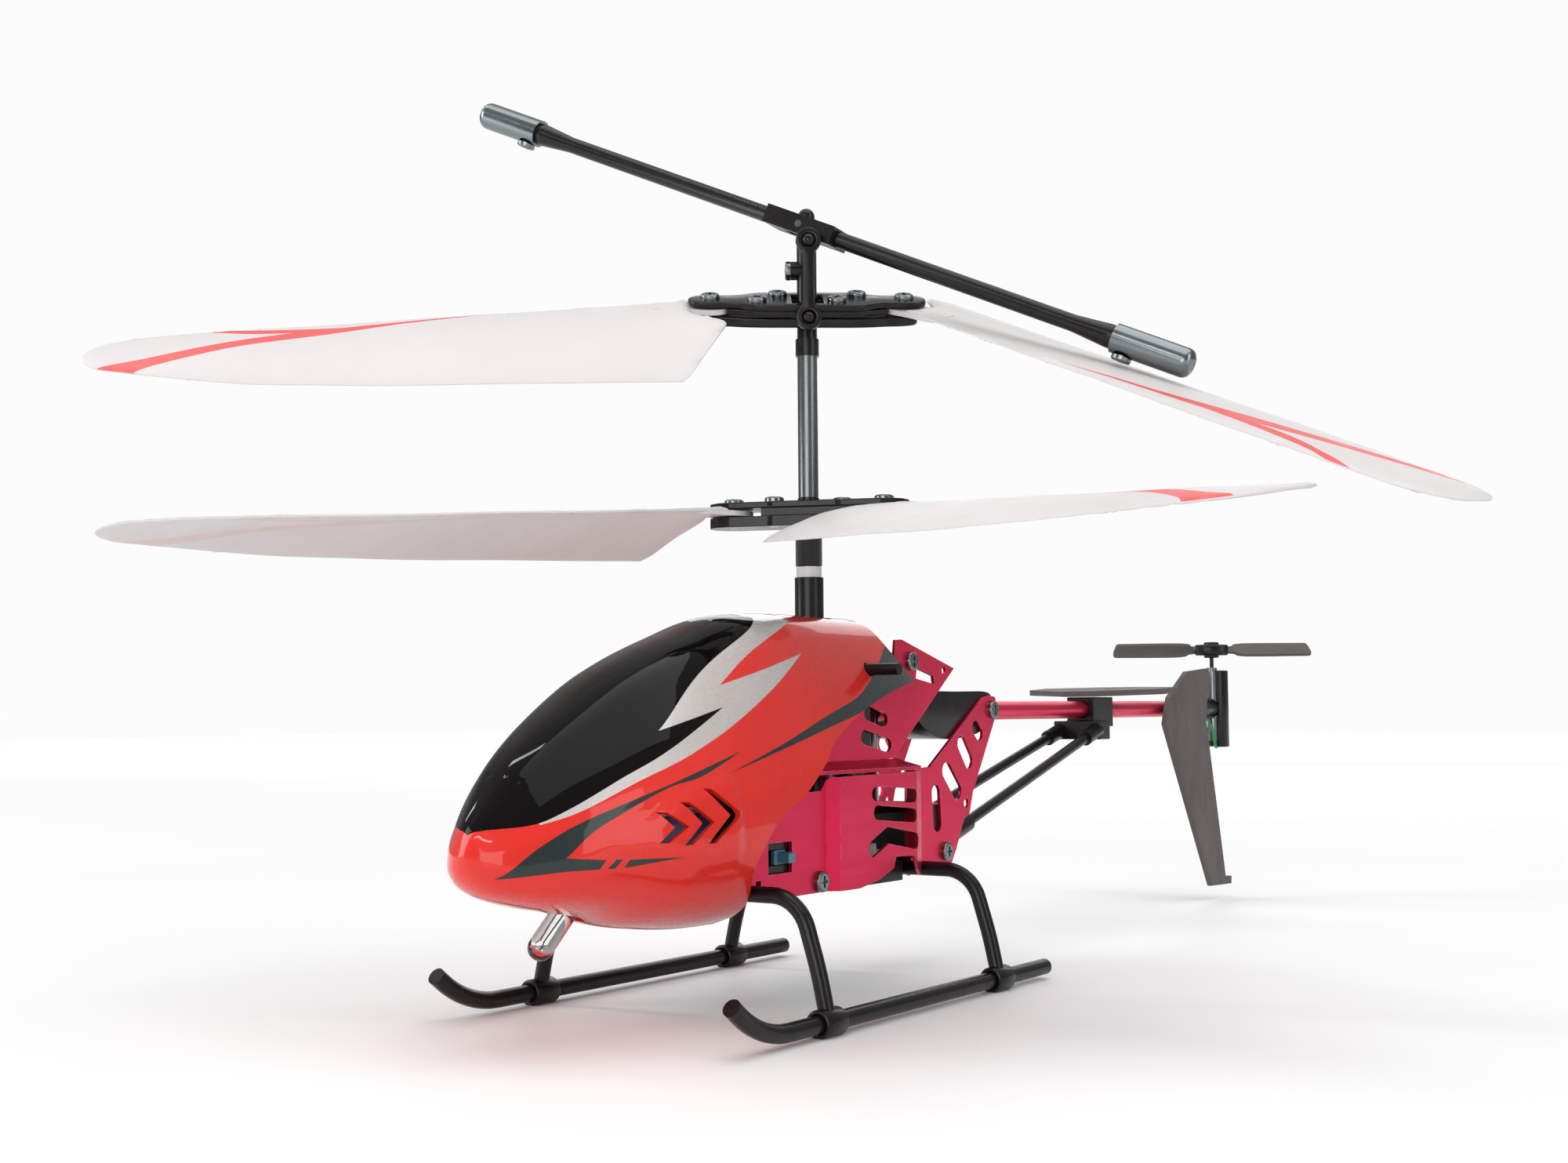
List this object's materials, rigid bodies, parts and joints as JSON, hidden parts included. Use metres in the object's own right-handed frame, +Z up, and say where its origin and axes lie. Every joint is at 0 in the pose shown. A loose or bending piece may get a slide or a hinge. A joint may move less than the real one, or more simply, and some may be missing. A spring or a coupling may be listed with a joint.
{
  "type": "remote control helicopter",
  "caption": "Palm-size coaxial indoor helicopter with counter-turning rotors, weighted flybar, sheet-metal frame, open-backed shell, boom with tail rotor, and skids.",
  "frame": {"origin": "on the main mast's axis, at the belly tray's flat underside", "axes": "+Z up along the mast, nose towards -Y, +X the helicopter's left side"},
  "size_m": [0.175, 0.2453, 0.1312],
  "materials": {
    "red_shell": "glossy painted shell",
    "anodised_red": "satin anodised",
    "clear_lens": "clear",
    "steel": "bright",
    "blade_plastic": "satin translucent",
    "white_nylon": "satin",
    "brass": "machined",
    "battery_wrap": "heat-shrink wrap",
    "board_green": "lacquered board",
    "wire_insulation": "satin",
    "blue_plastic": "satin",
    "black_plastic": "satin moulded"
  },
  "bodies": {
    "airframe": {"battery_pack": "battery_wrap", "belly_tray": "black_plastic", "boom_mount": "black_plastic", "canopy": "red_shell", "canopy_pegs": "black_plastic", "charge_socket": "black_plastic", "circuit_board": "board_green", "frame_screws": "steel", "front_legs": "black_plastic", "horizontal_stabilizer": "black_plastic", "led_holder": "black_plastic", "left_lower_plate": "anodised_red", "left_upper_plate": "anodised_red", "main_motors": "steel", "mast_base": "black_plastic", "mast_sleeve": "black_plastic", "mast_spacer_ring": "steel", "motor_shelf": "black_plastic", "nose_led": "clear_lens", "rear_legs": "black_plastic", "rear_spacer_block": "black_plastic", "right_lower_plate": "anodised_red", "right_upper_plate": "anodised_red", "skid_collars": "black_plastic", "skid_tubes": "black_plastic", "stabilizer_clamp": "black_plastic", "switch_body": "black_plastic", "tail_boom": "anodised_red", "tail_motor": "steel", "tail_motor_holder": "black_plastic", "tail_motor_wires": "wire_insulation", "tail_struts": "black_plastic", "upper_standoff": "steel", "vertical_fin": "black_plastic"},
    "upper_rotor": {"inner_shaft": "steel", "upper_rotor_gear": "white_nylon", "head_post": "black_plastic", "head_clamp_screw": "steel"},
    "head": {"upper_grip": "black_plastic", "upper_grip_plate": "black_plastic", "upper_grip_screws": "steel", "head_pivot_pin": "steel"},
    "flybar": {"flybar_rod": "black_plastic", "flybar_pivot_pin": "steel", "flybar_weights": "steel"},
    "link": {"link_rod": "black_plastic"},
    "lower_rotor": {"outer_rotor_tube": "steel", "lower_rotor_gear": "white_nylon", "lower_grip": "black_plastic", "lower_grip_plate": "black_plastic", "lower_grip_screws": "steel"},
    "tail_rotor_body": {"tail_rotor": "black_plastic", "tail_rotor_shaft": "steel"},
    "front_pinion": {"front_motor_pinion": "brass"},
    "rear_pinion": {"rear_motor_pinion": "brass"},
    "switch": {"switch_slider": "blue_plastic"},
    "upper_blade_right_body": {"upper_blade_right": "blade_plastic"},
    "upper_blade_left_body": {"upper_blade_left": "blade_plastic"},
    "lower_blade_right_body": {"lower_blade_right": "blade_plastic"},
    "lower_blade_left_body": {"lower_blade_left": "blade_plastic"}
  },
  "joints": [
    {"name": "upper_rotor_spin", "type": "hinge", "parent": "airframe", "child": "upper_rotor", "pos_m": [0, 0, 0.07], "axis": [0, 0, 1], "continuous": true},
    {"name": "head_tilt", "type": "hinge", "parent": "upper_rotor", "child": "head", "pos_m": [0, 0, 0.0796], "axis": [0.7986, 0.6018, 0], "range_deg": [-50, 0]},
    {"name": "flybar_teeter", "type": "hinge", "parent": "upper_rotor", "child": "flybar", "pos_m": [0, 0, 0.0911], "axis": [-0.1822, 0.9833, 0], "range_deg": [-48.8, 0]},
    {"name": "link_swing", "type": "hinge", "parent": "head", "child": "link", "pos_m": [0.00295, -0.00391, 0.07732], "axis": [0.7986, 0.6018, 0], "range_deg": [0, 50]},
    {"name": "upper_blade_right_lag", "type": "hinge", "parent": "head", "child": "upper_blade_right_body", "pos_m": [0.01086, 0.00818, 0.0796], "axis": [0.2543, -0.3375, 0.9063], "range_deg": [-7, 0]},
    {"name": "upper_blade_left_lag", "type": "hinge", "parent": "head", "child": "upper_blade_left_body", "pos_m": [-0.01086, -0.00818, 0.0796], "axis": [0.2543, -0.3375, 0.9063], "range_deg": [-50, 6]},
    {"name": "lower_rotor_spin", "type": "hinge", "parent": "airframe", "child": "lower_rotor", "pos_m": [0, 0, 0.05], "axis": [0, 0, 1], "continuous": true},
    {"name": "lower_blade_right_lag", "type": "hinge", "parent": "lower_rotor", "child": "lower_blade_right_body", "pos_m": [0.00992, 0.00401, 0.0508], "axis": [0, 0, 1], "range_deg": [0, 100]},
    {"name": "lower_blade_left_lag", "type": "hinge", "parent": "lower_rotor", "child": "lower_blade_left_body", "pos_m": [-0.00992, -0.00401, 0.0508], "axis": [0, 0, 1], "range_deg": [-103, 0]},
    {"name": "tail_rotor_spin", "type": "hinge", "parent": "airframe", "child": "tail_rotor_body", "pos_m": [0, 0.1463, 0.035], "axis": [0, 0, 1], "continuous": true},
    {"name": "front_pinion_spin", "type": "hinge", "parent": "airframe", "child": "front_pinion", "pos_m": [0, -0.01015, 0.004], "axis": [0, 0, 1], "continuous": true},
    {"name": "rear_pinion_spin", "type": "hinge", "parent": "airframe", "child": "rear_pinion", "pos_m": [0, 0.01015, 0.007], "axis": [0, 0, 1], "continuous": true},
    {"name": "switch_travel", "type": "slide", "parent": "airframe", "child": "switch", "axis": [0, -1, 0], "range_m": [0, 0.002]}
  ],
  "couplings": [
    {"joint": "flybar_teeter", "follows": "head_tilt", "ratio": 0.976},
    {"joint": "link_swing", "follows": "head_tilt", "ratio": -1},
    {"joint": "front_pinion_spin", "follows": "upper_rotor_spin", "ratio": -6.6667},
    {"joint": "rear_pinion_spin", "follows": "lower_rotor_spin", "ratio": -6.6667}
  ]
}
